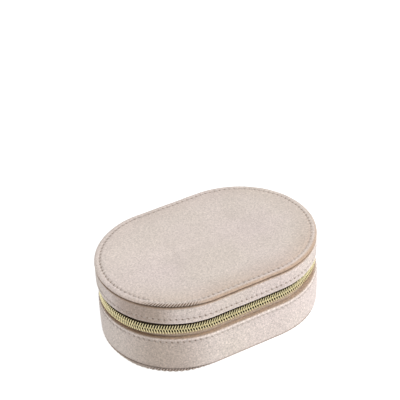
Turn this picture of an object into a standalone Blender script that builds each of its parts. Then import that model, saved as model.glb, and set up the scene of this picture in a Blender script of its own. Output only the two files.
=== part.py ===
"""Travel jewelry case: a velvet-covered box with a stadium outline, a zip and a fabric hinge.

Metres, +Z up. The origin is the centre of the face that the case rests on. +X runs along the case, and +Y
points at its hinge. An inset is a distance inwards from the outer face of the velvet side wall.
"""

import math

import bmesh
import bpy
from mathutils import Matrix, Vector

MM = 0.001

# Driving dimensions
CASE_LENGTH = 127.2 * MM
CASE_WIDTH = 88.0 * MM
WALL_RADIUS = CASE_WIDTH / 2  # radius of each round end, at the outer face
END_X = (CASE_LENGTH - CASE_WIDTH) / 2  # centre of each round end
GAP = 0.3 * MM  # what touching pieces keep between them

# Heights of the outside, from the table up
BOTTOM_COVER_TOP = 1.2 * MM
BASE_COVER_BOTTOM = BOTTOM_COVER_TOP + GAP
BASE_RIM = 21.6 * MM
LID_RIM = 32.3 * MM
LID_COVER_TOP = 43.1 * MM
LID_PANEL_BOTTOM = LID_COVER_TOP + GAP
CASE_HEIGHT = 45.6 * MM
ZIP_MID = (BASE_RIM + LID_RIM) / 2

# Wall build-up, as insets from the outer face
COVER = (0.0, 0.8 * MM)
BOARD = (1.1 * MM, 3.1 * MM)
LEDGE_INSET = 3.2 * MM  # how far a cover's turned edge reaches in over its board
CHAIN = (2.0 * MM, 3.1 * MM)
TAPE = (3.4 * MM, 3.9 * MM)
COLLAR = (5.7 * MM, 7.0 * MM)
BASE_LINING = (7.3 * MM, 8.1 * MM)
LID_LINING = (4.2 * MM, 5.0 * MM)
EDGE_ROUND = 0.35 * MM
BOTTOM_COVER_INSET = 0.3 * MM

# Base
BOARD_THICKNESS = 2.0 * MM
BOTTOM_BOARD = (BASE_COVER_BOTTOM, BASE_COVER_BOTTOM + BOARD_THICKNESS)
LEDGE_THICKNESS = 0.8 * MM
FLOOR_PAD = (BOTTOM_BOARD[1] + GAP, BOTTOM_BOARD[1] + GAP + 2.5 * MM)
FLOOR_PAD_ROUND = 0.6 * MM
FLOOR_TOP = FLOOR_PAD[1] + GAP
COLLAR_TOP = 30.6 * MM
COLLAR_LINING_TOP = 31.7 * MM
DIVIDER_THICKNESS = 2.0 * MM
DIVIDER_END_GAP = GAP + 0.2 * MM  # between the straight wall's lining and what stands across the floor
DIVIDER_X = END_X + 0.6 * MM
DIVIDER_TOP = 26.0 * MM
SHORT_DIVIDER_TOP = 24.0 * MM
ROLL_COUNT = 3
ROLL_TOP = 19.4 * MM

# Lid
LID_PAD = (LID_PANEL_BOTTOM, LID_PANEL_BOTTOM + 1.3 * MM)
LID_SKIN_BOTTOM = CASE_HEIGHT - 0.6 * MM
LID_TOP_ROUND = 0.7 * MM
LID_BOARD = (41.3 * MM, LID_COVER_TOP)
LID_LINING_PANEL = (39.3 * MM, 41.0 * MM)
LID_LINING_ROUND = 0.5 * MM
MIRROR = (37.8 * MM, 39.0 * MM)
MIRROR_INSET = 13.0 * MM
FRAME_BOTTOM = 37.0 * MM
FRAME_LIP_TOP = 37.5 * MM
FRAME_INSETS = (10.5 * MM, 12.7 * MM, 14.5 * MM)

# Zip: a size 5 coil chain, 6 mm across, on tape that is hidden behind the boards
CHAIN_HALF_WIDTH = 3.0 * MM
CHAIN_MID_GAP = 0.15 * MM
TAPE_MID_GAP = 1.0 * MM  # leaves the slider's post its way between the two tapes
TAPE_HIDDEN = 8.6 * MM  # how far the tape reaches in behind each rim
HINGE_HALF_ANGLE = math.radians(14.0)  # how far the hinge strip runs on round each end
ZIP_END_ANGLE = math.pi / 2 - HINGE_HALF_ANGLE
SLIDER_ANGLE = math.radians(63.0)  # where the slider is parked, on the right-hand end
CHAIN_END_ANGLE = math.radians(62.4)  # inside the slider, short of its post
TOP_STOP_ANGLE = math.radians(71.0)
TOP_STOP_LENGTH = 1.6 * MM
TOP_STOP_INSETS = (1.8 * MM, 3.1 * MM)
TOP_STOP_REACH = (0.7 * MM, 2.7 * MM)  # from the middle of the zip, up or down
BOTTOM_STOP_ANGLE = math.radians(116.5)  # on the left-hand end
BOTTOM_STOP_LENGTH = 2.0 * MM
BOTTOM_STOP_INSETS = (1.6 * MM, 3.1 * MM)
BOTTOM_STOP_HALF_HEIGHT = 2.8 * MM

# Hinge: the strip lies in the plane of the zip tape and folds half-way up the zip
HINGE_Y = WALL_RADIUS - (TAPE[0] + TAPE[1]) / 2

# Slider and pull, in the slider's own frame: X along its opening travel, Y out from the wall, Z up
SLIDER_LENGTH = 11.0 * MM
SLIDER_HALF_HEIGHT = (4.5 * MM, 4.1 * MM)  # at its mouth, where the open rows enter, and at its narrow end
SLIDER_OUTER = (0.75 * MM, 1.75 * MM)
SLIDER_INNER = (4.5 * MM, 5.3 * MM)
SLIDER_FLANGE_INSET = 3.0 * MM
SLIDER_ROOM = 3.45 * MM  # half the height of its room for the chain
SLIDER_ROUND = 0.5 * MM
POST_X = (-0.8 * MM, -2.6 * MM, -4.6 * MM)  # the post's tip, shoulder and tail
POST_HALF_HEIGHT = 0.7 * MM
BAR_RADIUS = 0.55 * MM
BAR_OUT = 1.35 * MM  # the bar's centre, outside the wall's outer face
BAR_SPAN = 3.9 * MM  # from the bar's middle to the outside of its feet
BAR_POST = 1.2 * MM  # the thickness of its feet
BAR_SLOPE = 1.5 * MM  # how far along its shoulders slope
BAR_SINK = 0.4 * MM  # how deep its feet are sunk in the plate
BAR_CORNER = (0.4 * MM, 0.3 * MM)  # how far the corners under it are cut, along it and down
BAR_ROUND = 0.2 * MM
LINK_WIRE = 0.45 * MM
LINK_HALF_WIDTH = 1.25 * MM  # to the wire's centreline
LINK_BOTTOM = 4.6 * MM  # from the bar's centre down to the wire's centreline, inside the zip gap
TAB_THICKNESS = 1.2 * MM
TAB_ROUND = 0.25 * MM
TAB_HOLE_RADIUS = 1.2 * MM
TAB_HOLE_DROP = 0.5 * MM
TAB_EYE_RADIUS = 2.3 * MM
TAB_FOOT_RADIUS = 3.1 * MM
TAB_LENGTH = 14.0 * MM  # from the hole's centre to the foot's centre

ARC_STEPS = 28  # segments of a half turn
HOLE_STEPS = 16


def clear_scene():
    for obj in list(bpy.data.objects):
        bpy.data.objects.remove(obj)


def material(name, colour, roughness, metallic=0.0):
    made = bpy.data.materials.get(name)
    if made is None:
        made = bpy.data.materials.new(name)
        made.use_nodes = True
        shader = made.node_tree.nodes["Principled BSDF"]
        shader.inputs["Base Color"].default_value = (*colour, 1.0)
        shader.inputs["Roughness"].default_value = roughness
        shader.inputs["Metallic"].default_value = metallic
    return made


def velvet():
    return material("velvet", (0.69, 0.60, 0.55), 0.9)


def lining():
    return material("lining", (0.72, 0.64, 0.58), 0.92)


def board():
    return material("board", (0.45, 0.42, 0.38), 0.85)


def foam():
    return material("foam", (0.86, 0.84, 0.78), 0.95)


def tape():
    return material("tape", (0.50, 0.40, 0.30), 0.8)


def gold():
    return material("gold", (0.75, 0.62, 0.32), 0.3, 1.0)


def glass():
    return material("mirror", (0.9, 0.9, 0.9), 0.05, 1.0)


def add_object(name, bm, finish, parent=None):
    mesh = bpy.data.meshes.new(name)
    bmesh.ops.recalc_face_normals(bm, faces=bm.faces)
    bm.to_mesh(mesh)
    bm.free()
    mesh.materials.append(finish)
    mesh.shade_smooth()
    mesh.set_sharp_from_angle(angle=math.radians(35.0))
    obj = bpy.data.objects.new(name, mesh)
    bpy.context.scene.collection.objects.link(obj)
    if parent is not None:
        hang(obj, parent)
    return obj


def hang(obj, parent):
    """Parents obj and leaves it where it is."""
    world = obj.matrix_world.copy()
    obj.parent = parent
    obj.matrix_parent_inverse = parent.matrix_world.inverted()
    obj.matrix_world = world
    bpy.context.view_layer.update()


def add_pivot(name, matrix):
    pivot = bpy.data.objects.new(name, None)
    pivot.empty_display_size = 5 * MM
    pivot.matrix_world = matrix
    bpy.context.scene.collection.objects.link(pivot)
    bpy.context.view_layer.update()
    return pivot


def as_cutter(obj):
    obj.hide_render = True
    obj.display_type = "WIRE"
    return obj


def boolean(obj, other, operation):
    modifier = obj.modifiers.new(operation.title(), "BOOLEAN")
    modifier.operation = operation
    modifier.solver = "EXACT"
    modifier.object = other


def bevel(obj, width, segments=1, angle=50.0):
    modifier = obj.modifiers.new("Bevel", "BEVEL")
    modifier.width = width
    modifier.segments = segments
    modifier.limit_method = "ANGLE"
    modifier.angle_limit = math.radians(angle)


def arc_stations(centre_x, start, end):
    """(centre, direction) along a round end, from one angle to another. Directions point outwards."""
    steps = max(1, round(ARC_STEPS * abs(end - start) / math.pi))
    angles = [start + (end - start) * k / steps for k in range(steps + 1)]
    return [(centre_x, math.cos(a), math.sin(a)) for a in angles]


def ring_stations():
    """All round the case, anticlockwise from the right-hand end's front."""
    quarter = math.pi / 2
    return arc_stations(END_X, -quarter, quarter) + arc_stations(-END_X, quarter, 3 * quarter)


def zip_stations(right_end, left_end):
    """From the right-hand round end, round the front, to the left-hand one."""
    front = -math.pi / 2
    right = arc_stations(END_X, right_end, front)
    return right + arc_stations(-END_X, 3 * math.pi / 2, left_end)


def hinge_stations():
    """Along the back, from where the zip tape ends on one round end to where it ends on the other."""
    start = ZIP_END_ANGLE + 2 * GAP / WALL_RADIUS
    return arc_stations(END_X, start, math.pi / 2) + arc_stations(-END_X, math.pi / 2, math.pi - start)


def sweep(name, stations, section, finish, closed=True, parent=None):
    """A solid whose cross-section, a list of (inset, z), follows the wall past each station."""
    bm = bmesh.new()
    loops = []
    for centre_x, dx, dy in stations:
        points = [
            (centre_x + (WALL_RADIUS - inset) * dx, (WALL_RADIUS - inset) * dy, z) for inset, z in section
        ]
        loops.append([bm.verts.new(point) for point in points])
    pairs = list(zip(loops, loops[1:]))
    if closed:
        pairs.append((loops[-1], loops[0]))
    else:
        bm.faces.new(loops[0])
        bm.faces.new(reversed(loops[-1]))
    count = len(section)
    for here, there in pairs:
        for k in range(count):
            after = (k + 1) % count
            bm.faces.new((here[k], here[after], there[after], there[k]))
    return add_object(name, bm, finish, parent)


def band_section(insets, heights):
    """A plain rectangle between two insets and two heights."""
    return [
        (insets[0], heights[0]),
        (insets[0], heights[1]),
        (insets[1], heights[1]),
        (insets[1], heights[0]),
    ]


def cover_section(low, high):
    """A side wall's velvet, whose top and bottom edges turn in over the board. Outer corners are eased."""
    skin = COVER[1]
    return [
        (EDGE_ROUND, low),
        (0.0, low + EDGE_ROUND),
        (0.0, high - EDGE_ROUND),
        (EDGE_ROUND, high),
        (LEDGE_INSET, high),
        (LEDGE_INSET, high - LEDGE_THICKNESS),
        (skin, high - LEDGE_THICKNESS),
        (skin, low + LEDGE_THICKNESS),
        (LEDGE_INSET, low + LEDGE_THICKNESS),
        (LEDGE_INSET, low),
    ]


def stadium_plate(name, inset, heights, finish, parent=None, rounding=0.0):
    """A flat plate with the case's outline, eased along both rims."""
    bm = bmesh.new()
    outline = [
        bm.verts.new((cx + (WALL_RADIUS - inset) * dx, (WALL_RADIUS - inset) * dy, heights[0]))
        for cx, dx, dy in ring_stations()
    ]
    face = bm.faces.new(outline)
    grown = bmesh.ops.extrude_face_region(bm, geom=[face])
    lifted = [g for g in grown["geom"] if isinstance(g, bmesh.types.BMVert)]
    bmesh.ops.translate(bm, verts=lifted, vec=(0.0, 0.0, heights[1] - heights[0]))
    obj = add_object(name, bm, finish, parent)
    if rounding:
        bevel(obj, rounding, 2)
    return obj


def block(name, low, high, finish, parent=None):
    bm = bmesh.new()
    size = Vector(high) - Vector(low)
    centre = (Vector(high) + Vector(low)) / 2
    matrix = Matrix.Translation(centre) @ Matrix.Diagonal((*size, 1.0))
    bmesh.ops.create_cube(bm, size=1.0, matrix=matrix)
    return add_object(name, bm, finish, parent)


def extrude_outline(name, outline, axis, low, high, finish, parent=None):
    """A prism whose outline lies across axis 1 (Y) or 2 (Z), between two places on that axis."""
    bm = bmesh.new()
    points = [(u, low, v) if axis == 1 else (u, v, low) for u, v in outline]
    face = bm.faces.new([bm.verts.new(p) for p in points])
    grown = bmesh.ops.extrude_face_region(bm, geom=[face])
    lifted = [g for g in grown["geom"] if isinstance(g, bmesh.types.BMVert)]
    shift = (0.0, high - low, 0.0) if axis == 1 else (0.0, 0.0, high - low)
    bmesh.ops.translate(bm, verts=lifted, vec=shift)
    return add_object(name, bm, finish, parent)


def build_base_shell():
    heights = (0.0, BOTTOM_COVER_TOP)
    stadium_plate("bottom_cover", BOTTOM_COVER_INSET, heights, velvet(), rounding=EDGE_ROUND)
    stadium_plate("bottom_board", LEDGE_INSET + GAP, BOTTOM_BOARD, board())
    ring = ring_stations()
    sweep("base_outer_cover", ring, cover_section(BASE_COVER_BOTTOM, BASE_RIM), velvet())
    low = BASE_COVER_BOTTOM + LEDGE_THICKNESS + GAP
    high = BASE_RIM - LEDGE_THICKNESS - GAP
    sweep("base_wall_board", ring, band_section(BOARD, (low, high)), board())
    sweep("base_collar_board", ring, band_section(COLLAR, (FLOOR_PAD[0], COLLAR_TOP)), board())
    # The lining climbs the collar's inner face and turns out over its top edge.
    ledge = COLLAR_TOP + GAP
    section = [
        (COLLAR[0], ledge),
        (COLLAR[0], COLLAR_LINING_TOP),
        (BASE_LINING[1], COLLAR_LINING_TOP),
        (BASE_LINING[1], FLOOR_PAD[0]),
        (BASE_LINING[0], FLOOR_PAD[0]),
        (BASE_LINING[0], ledge),
    ]
    sweep("base_wall_lining", ring, section, lining())
    stadium_plate("floor_pad", BASE_LINING[1] + GAP, FLOOR_PAD, lining(), rounding=FLOOR_PAD_ROUND)


def build_fittings():
    """Two cross dividers, ring rolls between them, and a short divider in the right-hand compartment."""
    reach = WALL_RADIUS - BASE_LINING[1] - DIVIDER_END_GAP
    inner = DIVIDER_X - DIVIDER_THICKNESS / 2
    outer = DIVIDER_X + DIVIDER_THICKNESS / 2
    block("divider_right", (inner, -reach, FLOOR_TOP), (outer, reach, DIVIDER_TOP), lining())
    block("divider_left", (-outer, -reach, FLOOR_TOP), (-inner, reach, DIVIDER_TOP), lining())
    half = DIVIDER_THICKNESS / 2
    tip = END_X + reach
    block("divider_short", (outer + GAP, -half, FLOOR_TOP), (tip, half, SHORT_DIVIDER_TOP), lining())
    bay = inner - GAP
    pitch = (2 * bay + GAP) / ROLL_COUNT
    radius = (pitch - GAP) / 2
    for k in range(ROLL_COUNT):
        centre = -bay + radius + k * pitch
        build_roll(f"ring_roll_{k + 1}", centre, radius, reach)


def build_roll(name, centre, radius, reach):
    """A roll of foam in a velvet sleeve, round on top and flat where it stands on the floor pad."""
    steps = 10
    shoulder = ROLL_TOP - radius
    outline = [(centre + radius, FLOOR_TOP)]
    for k in range(steps + 1):
        turn = math.pi * k / steps
        outline.append((centre + radius * math.cos(turn), shoulder + radius * math.sin(turn)))
    outline.append((centre - radius, FLOOR_TOP))
    extrude_outline(name, outline, 1, -reach, reach, lining())


def build_lid(lid_pivot):
    ring = ring_stations()
    sweep("lid_outer_cover", ring, cover_section(LID_RIM, LID_COVER_TOP), velvet(), parent=lid_pivot)
    low = LID_RIM + LEDGE_THICKNESS + GAP
    high = LID_COVER_TOP - LEDGE_THICKNESS - GAP
    sweep("lid_wall_board", ring, band_section(BOARD, (low, high)), board(), parent=lid_pivot)
    stadium_plate("lid_top_board", LEDGE_INSET + GAP, LID_BOARD, board(), lid_pivot)
    stadium_plate("lid_top_pad", COVER[1] + GAP, LID_PAD, foam(), lid_pivot)
    heights = (LID_PANEL_BOTTOM, CASE_HEIGHT)
    cover = stadium_plate("lid_top_cover", 0.0, heights, velvet(), lid_pivot, LID_TOP_ROUND)
    heights = (LID_PANEL_BOTTOM - MM, LID_SKIN_BOTTOM)
    hollow = stadium_plate("cut_lid_top_cover", COVER[1], heights, velvet(), lid_pivot)
    boolean(cover, as_cutter(hollow), "DIFFERENCE")
    heights = (LID_RIM + GAP, LID_LINING_PANEL[1])
    sweep("lid_wall_lining", ring, band_section(LID_LINING, heights), lining(), parent=lid_pivot)
    inset = LID_LINING[1] + GAP
    stadium_plate("lid_lining_panel", inset, LID_LINING_PANEL, lining(), lid_pivot, LID_LINING_ROUND)
    stadium_plate("lid_mirror", MIRROR_INSET, MIRROR, glass(), lid_pivot)
    outer, step, lip = FRAME_INSETS
    frame = [
        (outer, FRAME_BOTTOM),
        (outer, MIRROR[1]),
        (step, MIRROR[1]),
        (step, FRAME_LIP_TOP),
        (lip, FRAME_LIP_TOP),
        (lip, FRAME_BOTTOM),
    ]
    sweep("mirror_frame", ring, frame, lining(), parent=lid_pivot)


def build_zip(lid_pivot):
    left_chain_end = BOTTOM_STOP_ANGLE + (BOTTOM_STOP_LENGTH + GAP) / WALL_RADIUS
    chain = zip_stations(CHAIN_END_ANGLE, left_chain_end)
    taped = zip_stations(ZIP_END_ANGLE, math.pi - ZIP_END_ANGLE)
    for side, name, parent in ((-1, "lower", None), (1, "upper", lid_pivot)):
        rim = BASE_RIM if side < 0 else LID_RIM
        near = ZIP_MID + side * CHAIN_MID_GAP
        far = ZIP_MID + side * CHAIN_HALF_WIDTH
        heights = (min(near, far), max(near, far))
        sweep(f"zip_coil_{name}", chain, band_section(CHAIN, heights), gold(), False, parent)
        near = ZIP_MID + side * TAPE_MID_GAP
        far = rim + side * TAPE_HIDDEN
        heights = (min(near, far), max(near, far))
        sweep(f"zip_tape_{name}", taped, band_section(TAPE, heights), tape(), False, parent)
        build_top_stop(name, side, parent)
    heights = (BASE_RIM - TAPE_HIDDEN, LID_RIM + TAPE_HIDDEN)
    sweep("hinge_strip", hinge_stations(), band_section(TAPE, heights), velvet(), False)
    stop_end = BOTTOM_STOP_ANGLE + BOTTOM_STOP_LENGTH / WALL_RADIUS
    left = arc_stations(-END_X, BOTTOM_STOP_ANGLE, stop_end)
    heights = (ZIP_MID - BOTTOM_STOP_HALF_HEIGHT, ZIP_MID + BOTTOM_STOP_HALF_HEIGHT)
    sweep("zip_bottom_stop", left, band_section(BOTTOM_STOP_INSETS, heights), gold(), False)


def build_top_stop(name, side, parent):
    right = arc_stations(END_X, TOP_STOP_ANGLE, TOP_STOP_ANGLE + TOP_STOP_LENGTH / WALL_RADIUS)
    near, far = (ZIP_MID + side * reach for reach in TOP_STOP_REACH)
    section = band_section(TOP_STOP_INSETS, (min(near, far), max(near, far)))
    sweep(f"zip_top_stop_{name}", right, section, gold(), False, parent)


def build_slider(slider_pivot):
    """Two plates that hold the chain, joined by the post that parts its rows, and a bar for the pull."""
    half = SLIDER_LENGTH / 2
    wide, narrow = SLIDER_HALF_HEIGHT
    outline = [(-half, -wide), (-half, wide), (half, narrow), (half, -narrow)]
    outer_face = WALL_RADIUS - SLIDER_OUTER[0]
    inner_face = WALL_RADIUS - SLIDER_INNER[1]
    body = extrude_outline("slider_body", outline, 1, inner_face, outer_face, gold())
    bevel(body, SLIDER_ROUND, 2)
    outer_room = WALL_RADIUS - SLIDER_OUTER[1]
    inner_room = WALL_RADIUS - SLIDER_INNER[0]
    past = SLIDER_LENGTH
    low = (-past, inner_room, -SLIDER_ROOM)
    high = (past, outer_room, SLIDER_ROOM)
    room = block("cut_slider_room", low, high, gold())
    slot_high = WALL_RADIUS - SLIDER_FLANGE_INSET
    slot = block("cut_slider_slot", (-past, inner_room, -past), (past, slot_high, past), gold())
    tip, shoulder, tail = POST_X
    post_outline = [
        (tip, 0.0),
        (shoulder, POST_HALF_HEIGHT),
        (tail, POST_HALF_HEIGHT),
        (tail, -POST_HALF_HEIGHT),
        (shoulder, -POST_HALF_HEIGHT),
    ]
    post = extrude_outline("cut_slider_post", post_outline, 1, inner_face, outer_face, gold())
    boolean(room, as_cutter(slot), "UNION")
    boolean(room, as_cutter(post), "DIFFERENCE")
    boolean(body, as_cutter(room), "DIFFERENCE")
    bar = build_bar()
    boolean(body, as_cutter(bar), "UNION")
    for obj in (body, room, slot, post, bar):
        place_on_slider(obj, slider_pivot)


def build_bar():
    """The bar that the pull hangs on: a flat arch along the slider's outer plate."""
    foot = WALL_RADIUS - SLIDER_OUTER[0] - BAR_SINK
    crown = WALL_RADIUS + BAR_OUT
    under = crown - BAR_RADIUS
    over = crown + BAR_RADIUS
    shoulder = BAR_SPAN - BAR_SLOPE
    inner = BAR_SPAN - BAR_POST
    half = [
        (shoulder, over),
        (BAR_SPAN, under),
        (BAR_SPAN, foot),
        (inner, foot),
        (inner, under - BAR_CORNER[1]),
        (shoulder - BAR_CORNER[0], under),
    ]
    outline = half + [(-x, y) for x, y in reversed(half)]
    bar = extrude_outline("cut_slider_bar", outline, 2, -BAR_RADIUS, BAR_RADIUS, gold())
    bevel(bar, BAR_ROUND)
    return bar


def build_pull_link(link_pivot, slider_pivot):
    """A long wire loop round the bar, across the wall, that the tab hangs in."""
    steps = 8
    centreline = []
    for k in range(steps + 1):
        turn = math.pi * k / steps
        centreline.append((LINK_HALF_WIDTH * math.cos(turn), LINK_HALF_WIDTH * math.sin(turn)))
    drop = LINK_BOTTOM - LINK_HALF_WIDTH
    for k in range(steps + 1):
        turn = math.pi + math.pi * k / steps
        centreline.append((LINK_HALF_WIDTH * math.cos(turn), LINK_HALF_WIDTH * math.sin(turn) - drop))
    curve = bpy.data.curves.new("pull_link", "CURVE")
    curve.dimensions = "3D"
    curve.bevel_depth = LINK_WIRE
    curve.bevel_resolution = 2
    spline = curve.splines.new("POLY")
    spline.points.add(len(centreline) - 1)
    for point, (y, z) in zip(spline.points, centreline):
        point.co = (0.0, WALL_RADIUS + BAR_OUT + y, z, 1.0)
    spline.use_cyclic_u = True
    spline.use_smooth = True
    curve.materials.append(gold())
    link = bpy.data.objects.new("pull_link", curve)
    bpy.context.scene.collection.objects.link(link)
    place_on_slider(link, slider_pivot)
    hang(link, link_pivot)


def build_pull_tab(tab_pivot, slider_pivot):
    """A flat drop with an eye at its top. Its outline is two arcs joined by their common tangents."""
    eye_z = -LINK_BOTTOM - TAB_HOLE_DROP
    foot_z = eye_z - TAB_LENGTH
    lean = math.asin((TAB_FOOT_RADIUS - TAB_EYE_RADIUS) / TAB_LENGTH)
    steps = 10
    outline = []
    for k in range(steps + 1):
        turn = -lean + (math.pi + 2 * lean) * k / steps
        outline.append((TAB_EYE_RADIUS * math.cos(turn), eye_z + TAB_EYE_RADIUS * math.sin(turn)))
    for k in range(steps + 1):
        turn = math.pi + lean + (math.pi - 2 * lean) * k / steps
        outline.append((TAB_FOOT_RADIUS * math.cos(turn), foot_z + TAB_FOOT_RADIUS * math.sin(turn)))
    middle = WALL_RADIUS + BAR_OUT
    half = TAB_THICKNESS / 2
    tab = extrude_outline("pull_tab", outline, 1, middle - half, middle + half, gold())
    bevel(tab, TAB_ROUND)
    circle = []
    for k in range(HOLE_STEPS):
        turn = 2 * math.pi * k / HOLE_STEPS
        circle.append((TAB_HOLE_RADIUS * math.cos(turn), eye_z + TAB_HOLE_RADIUS * math.sin(turn)))
    past = 2 * TAB_THICKNESS
    hole = extrude_outline("cut_pull_tab", circle, 1, middle - past, middle + past, gold())
    boolean(tab, as_cutter(hole), "DIFFERENCE")
    for obj in (tab, hole):
        place_on_slider(obj, slider_pivot)
        hang(obj, tab_pivot)


def place_on_slider(obj, slider_pivot):
    """Moves a piece from the slider's own frame to its place, under the pivot on the round end's axis."""
    obj.matrix_world = slider_pivot.matrix_world
    bpy.context.view_layer.update()
    hang(obj, slider_pivot)


def slider_frame(outwards, up):
    """The slider's frame, with its origin moved out from the round end's axis and up."""
    turn = Matrix.Rotation(SLIDER_ANGLE - math.pi / 2, 4, "Z")
    return Matrix.Translation((END_X, 0.0, ZIP_MID)) @ turn @ Matrix.Translation((0.0, outwards, up))


def main():
    clear_scene()
    lid_pivot = add_pivot("lid_axis", Matrix.Translation((0.0, HINGE_Y, ZIP_MID)))
    slider_pivot = add_pivot("slider_axis", slider_frame(0.0, 0.0))
    link_pivot = add_pivot("link_axis", slider_frame(WALL_RADIUS + BAR_OUT, 0.0))
    hang(link_pivot, slider_pivot)
    tab_pivot = add_pivot("tab_axis", slider_frame(WALL_RADIUS + BAR_OUT, -LINK_BOTTOM))
    hang(tab_pivot, link_pivot)
    build_base_shell()
    build_fittings()
    build_lid(lid_pivot)
    build_zip(lid_pivot)
    build_slider(slider_pivot)
    build_pull_link(link_pivot, slider_pivot)
    build_pull_tab(tab_pivot, slider_pivot)


main()
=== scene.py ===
"""The looks of a velvet travel jewelry case: covers, zip, pull, lining and mirror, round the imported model."""

import math

import bpy
import numpy as np
from mathutils import Matrix, Vector, noise


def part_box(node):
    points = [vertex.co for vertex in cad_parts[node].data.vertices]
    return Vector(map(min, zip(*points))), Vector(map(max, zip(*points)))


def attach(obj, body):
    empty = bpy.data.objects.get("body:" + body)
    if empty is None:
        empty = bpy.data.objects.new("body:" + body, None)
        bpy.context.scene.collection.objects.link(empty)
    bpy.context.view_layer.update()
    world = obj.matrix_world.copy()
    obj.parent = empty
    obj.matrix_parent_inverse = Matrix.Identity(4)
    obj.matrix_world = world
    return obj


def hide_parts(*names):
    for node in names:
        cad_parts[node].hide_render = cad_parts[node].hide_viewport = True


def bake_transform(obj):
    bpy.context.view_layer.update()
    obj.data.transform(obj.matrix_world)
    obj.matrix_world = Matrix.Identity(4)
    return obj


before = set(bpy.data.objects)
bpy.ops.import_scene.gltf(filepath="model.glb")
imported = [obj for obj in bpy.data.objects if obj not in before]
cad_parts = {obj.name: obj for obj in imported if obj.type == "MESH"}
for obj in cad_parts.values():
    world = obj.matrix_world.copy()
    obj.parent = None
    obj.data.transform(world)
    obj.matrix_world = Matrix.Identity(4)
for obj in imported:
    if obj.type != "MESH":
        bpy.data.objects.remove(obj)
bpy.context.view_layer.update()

MM = 0.001

# Sizes and places, from the frame
base_low, base_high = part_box("base_outer_cover")
lid_low, lid_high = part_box("lid_outer_cover")
panel_low, panel_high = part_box("lid_top_cover")
RADIUS = (base_high.y - base_low.y) / 2  # of each round end, at the wall's outer face
END_X = (base_high.x - base_low.x) / 2 - RADIUS  # from the case's middle to the middle of each round end
WIDTH = 2 * RADIUS
INNERMOST = 43.8  # mm in from the wall, just short of the case's middle
BASE_BOTTOM, BASE_RIM = base_low.z, base_high.z
LID_RIM, LID_BAND_TOP = lid_low.z, lid_high.z
PANEL_BOTTOM, CASE_TOP = panel_low.z, panel_high.z
ZIP_MID = (BASE_RIM + LID_RIM) / 2

# The outline: two round ends joined by straight sides
QUARTER = math.pi / 2 * RADIUS  # the run of half a round end
OUTLINE = 4 * QUARTER + 4 * END_X

# Stitches, and the needle holes between them
STITCH = 3.12 * MM  # nearly: a whole number of them goes round
PER_STITCH = 8  # stations round the case for each stitch
STITCHES = round(OUTLINE / STITCH)
STATIONS = STITCHES * PER_STITCH
STITCH_STEP = OUTLINE / STITCHES
HOLE_LONG = 0.42 * MM
HOLE_WIDE = 0.62 * MM
CHANNEL_WIDE = 0.75 * MM  # how far to each side a seam presses the velvet in
PUFF_OFF = 1.3 * MM  # where the velvet puffs up between two holes, from the seam
PUFF_WIDE = 0.9 * MM
PUFF_DEPTH = 0.05 * MM
FADE_RUN = 24 * MM  # the pile hides the holes in places, over about this length
LID_SEAM_Z = CASE_TOP - 0.34 * MM
LID_ROW_Z = LID_RIM + 3.0 * MM
BASE_ROW_Z = BASE_RIM - 1.9 * MM
BOTTOM_ROW_Z = 0.6 * MM

# Slanted ribs where a seam runs out to an edge
RIB_PITCH = 1.6 * MM
RIB_LEAN = -0.65  # how far a rib's line shifts for each unit of height
RIB_DEPTH = 0.38 * MM

# Zip
PITCH = 1.43 * MM  # of the coil's turns
WIRE = 0.305 * MM  # the coil's radius
# The coil's cords are painted near-black, as painted shade in the coil's gaps; the upper one reaches up into
# the slot under the lid's edge, as its painted shadow.
UPPER_CORD = (2.05 * MM, 1.3 * MM)  # height from the chain's middle, and half its own height
LOWER_CORD = (-1.31 * MM, 0.59 * MM)
TAPE_DEPTH = 3.65 * MM  # from the wall's outer face to the tape's middle, behind the wall's velvet
HINGE_DEPTH = 3.66 * MM


# ---------------- round the outline

def station_at(s):
    """(Middle x, direction x, direction y) at a distance s round the case, anticlockwise from the right."""
    s = s % OUTLINE
    if s > OUTLINE / 2:
        centre, dx, dy = station_at(OUTLINE - s)
        return centre, dx, -dy
    if s <= QUARTER:
        return END_X, math.cos(s / RADIUS), math.sin(s / RADIUS)
    if s <= QUARTER + 2 * END_X:
        return END_X - (s - QUARTER), 0.0, 1.0
    turn = math.pi / 2 + (s - QUARTER - 2 * END_X) / RADIUS
    return -END_X, math.cos(turn), math.sin(turn)


def facing_of(dx, dy):
    """A direction in degrees, anticlockwise from the right."""
    return math.degrees(math.atan2(dy, dx))


def refine(points, step):
    """A profile's corner points, joined by straight runs whose points are at most a step apart."""
    fine = [points[0]]
    for a, b in zip(points, points[1:]):
        count = max(1, math.ceil(math.dist(a[:2], b[:2]) / step))
        for k in range(1, count + 1):
            share = k / count
            fine.append(tuple(p + (q - p) * share for p, q in zip(a, b)))
    return fine


def rounded(points, rounds=2):
    """Cuts a profile's corners, as a subdivision curve does. Its two ends stay."""
    for _ in range(rounds):
        cut = [points[0]]
        for a, b in zip(points, points[1:]):
            cut.append(tuple(0.75 * p + 0.25 * q for p, q in zip(a, b)))
            cut.append(tuple(0.25 * p + 0.75 * q for p, q in zip(a, b)))
        cut.append(points[-1])
        points = cut
    return points


def add_object(name, data):
    """A new object, in the scene."""
    obj = bpy.data.objects.new(name, data)
    bpy.context.scene.collection.objects.link(obj)
    return obj


def mesh_object(name, verts, faces, finish, layers=None):
    """A smooth object of its own. Layers are values for each point, by name, that its material reads."""
    mesh = bpy.data.meshes.new(name)
    mesh.from_pydata([tuple(v) for v in verts], [], faces)
    mesh.validate()
    mesh.shade_smooth()
    for layer, values in (layers or {}).items():
        attribute = mesh.attributes.new(layer, "FLOAT", "POINT")
        attribute.data.foreach_set("value", np.asarray(values, np.float32).ravel())
    mesh.materials.append(finish)
    return add_object(name, mesh)


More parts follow.
